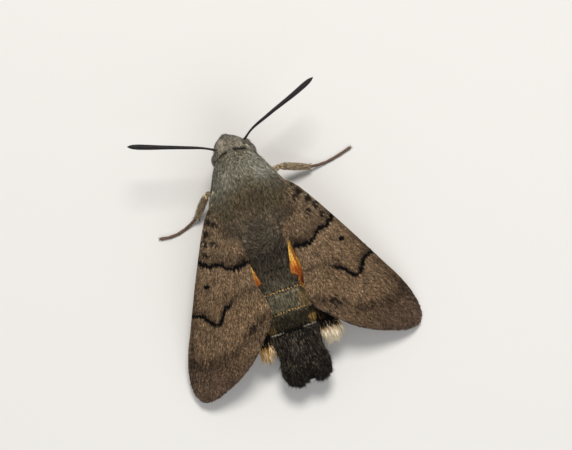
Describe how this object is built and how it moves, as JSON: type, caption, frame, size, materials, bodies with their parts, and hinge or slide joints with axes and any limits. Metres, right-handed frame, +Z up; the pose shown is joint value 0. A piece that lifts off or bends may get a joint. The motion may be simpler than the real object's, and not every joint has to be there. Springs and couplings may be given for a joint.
{
  "type": "hummingbird hawk moth",
  "caption": "Still life-size hawk moth resting on its legs, wings swept back over an orange underwing, feelers raised, with a furred body and a flat tail brush.",
  "frame": {"origin": "on the floor under the middle of the moth's bounding box", "axes": "+X to the moth's left, +Y from head to tail, +Z up"},
  "size_m": [0.0262, 0.0306, 0.0097],
  "materials": {
    "abdomen_fur": "short flat matt fur, dark grey to black with ochre and pale bands",
    "antenna": "dark, finely ringed, slightly satin",
    "body_fur": "soft matt fur, olive grey with pale and dark hairs",
    "eye": "dark brown, glossy",
    "forewing_scales": "fine matt scales, grey brown with wavy black lines",
    "hindwing_scales": "fine matt scales, orange",
    "leg_fur": "short grey brown fur",
    "palp_fur": "short pale fur",
    "proboscis": "dark brown, satin",
    "tail_fur": "long black scale hairs, white and buff at the tips of the side tufts",
    "tarsus": "dark, finely scaled"
  },
  "bodies": {
    "root": {"abdomen": "abdomen_fur", "antenna_left": "antenna", "antenna_right": "antenna", "eye_left": "eye", "eye_right": "eye", "femur_front_left": "leg_fur", "femur_front_right": "leg_fur", "femur_hind_left": "leg_fur", "femur_hind_right": "leg_fur", "femur_middle_left": "leg_fur", "femur_middle_right": "leg_fur", "forewing_left": "forewing_scales", "forewing_right": "forewing_scales", "head": "body_fur", "hindwing_left": "hindwing_scales", "hindwing_right": "hindwing_scales", "palp_left": "palp_fur", "palp_right": "palp_fur", "proboscis": "proboscis", "side_tuft_left": "tail_fur", "side_tuft_right": "tail_fur", "tail_brush": "tail_fur", "tarsus_front_left": "tarsus", "tarsus_front_right": "tarsus", "tarsus_hind_left": "tarsus", "tarsus_hind_right": "tarsus", "tarsus_middle_left": "tarsus", "tarsus_middle_right": "tarsus", "thorax": "body_fur", "tibia_front_left": "leg_fur", "tibia_front_right": "leg_fur", "tibia_hind_left": "leg_fur", "tibia_hind_right": "leg_fur", "tibia_middle_left": "leg_fur", "tibia_middle_right": "leg_fur"}
  },
  "joints": []
}
